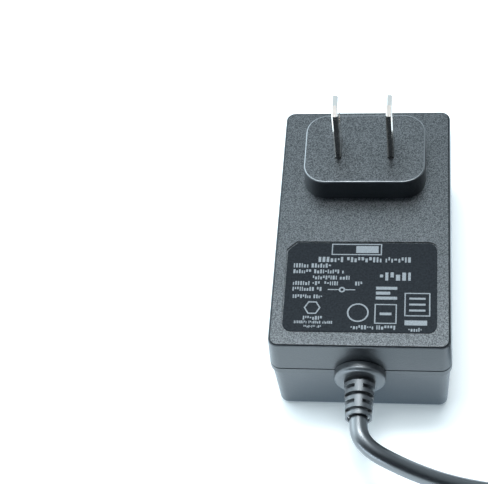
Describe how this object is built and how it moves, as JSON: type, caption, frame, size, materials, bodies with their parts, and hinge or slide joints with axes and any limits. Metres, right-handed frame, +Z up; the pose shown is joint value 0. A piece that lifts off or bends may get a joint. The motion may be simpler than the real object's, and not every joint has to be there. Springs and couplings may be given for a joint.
{
  "type": "power adapter",
  "caption": "Wall-plug power adapter: black two-part box with flat mains blades on a raised boss, a slotted strain relief and a round lead to a barrel plug.",
  "frame": {"origin": "on the ground under the middle of the housing's back, which it rests on", "axes": "+Z up, the way the blades point; +Y along the housing towards the blade end; the lead leaves towards -Y; +X to the right when the blades are up and the lead points at the viewer"},
  "size_m": [0.1224, 0.0949, 0.0533],
  "materials": {
    "housing_plastic": "black, fine spark texture, satin",
    "label_film": "black film, gloss",
    "plated_brass": "nickel plated, brushed satin",
    "carrier_plastic": "black, moulded",
    "spring_brass": "rolled, satin",
    "board_laminate": "tan laminate, satin",
    "fuse_case": "black, gloss",
    "varistor_coating": "blue dipped coating",
    "film_capacitor_case": "yellow, satin",
    "ferrite": "dark grey, ground",
    "copper_wire": "enamelled copper",
    "moulding_compound": "black, matt",
    "capacitor_sleeve": "dark shrink sleeve",
    "resistor_lacquer": "beige lacquer",
    "heatsink_aluminium": "mill finish",
    "screw_steel": "zinc plated",
    "bobbin_plastic": "black, moulded",
    "winding_tape": "yellow tape over wire",
    "disc_coating": "blue dipped coating",
    "relief_rubber": "black soft moulding, satin",
    "red_insulation": "red, satin",
    "black_insulation": "black, satin",
    "cord_jacket": "black, satin",
    "tie_plastic": "black strap, matt",
    "plug_rubber": "black soft moulding, satin",
    "plug_nickel": "nickel plated, bright",
    "plug_insulation": "black, gloss"
  },
  "bodies": {
    "root": {"blade_carrier": "carrier_plastic", "bottom_shell": "housing_plastic", "bridge_rectifier": "moulding_compound", "bulk_capacitor": "capacitor_sleeve", "circuit_board": "board_laminate", "control_chip": "moulding_compound", "cord_coil": "cord_jacket", "cord_run": "cord_jacket", "cord_tail": "cord_jacket", "cord_tie": "tie_plastic", "fuse": "fuse_case", "heatsink_screws": "screw_steel", "left_blade": "plated_brass", "left_contact_spring": "spring_brass", "line_choke_core": "ferrite", "line_choke_winding": "copper_wire", "negative_lead": "black_insulation", "optocoupler": "moulding_compound", "output_capacitor_1": "capacitor_sleeve", "output_capacitor_2": "capacitor_sleeve", "output_choke_core": "ferrite", "output_choke_winding": "copper_wire", "output_rectifier": "moulding_compound", "plug_contact": "plug_nickel", "plug_insulator": "plug_insulation", "plug_overmould": "plug_rubber", "plug_sleeve": "plug_nickel", "positive_lead": "red_insulation", "power_switch": "moulding_compound", "primary_heatsink": "heatsink_aluminium", "rating_label": "label_film", "right_blade": "plated_brass", "right_contact_spring": "spring_brass", "secondary_heatsink": "heatsink_aluminium", "snubber_resistor": "resistor_lacquer", "strain_relief": "relief_rubber", "surge_varistor": "varistor_coating", "top_shell": "housing_plastic", "transformer_bobbin": "bobbin_plastic", "transformer_core_lower": "ferrite", "transformer_core_upper": "ferrite", "transformer_winding": "winding_tape", "x_capacitor": "film_capacitor_case", "y_capacitor": "disc_coating"}
  },
  "joints": []
}
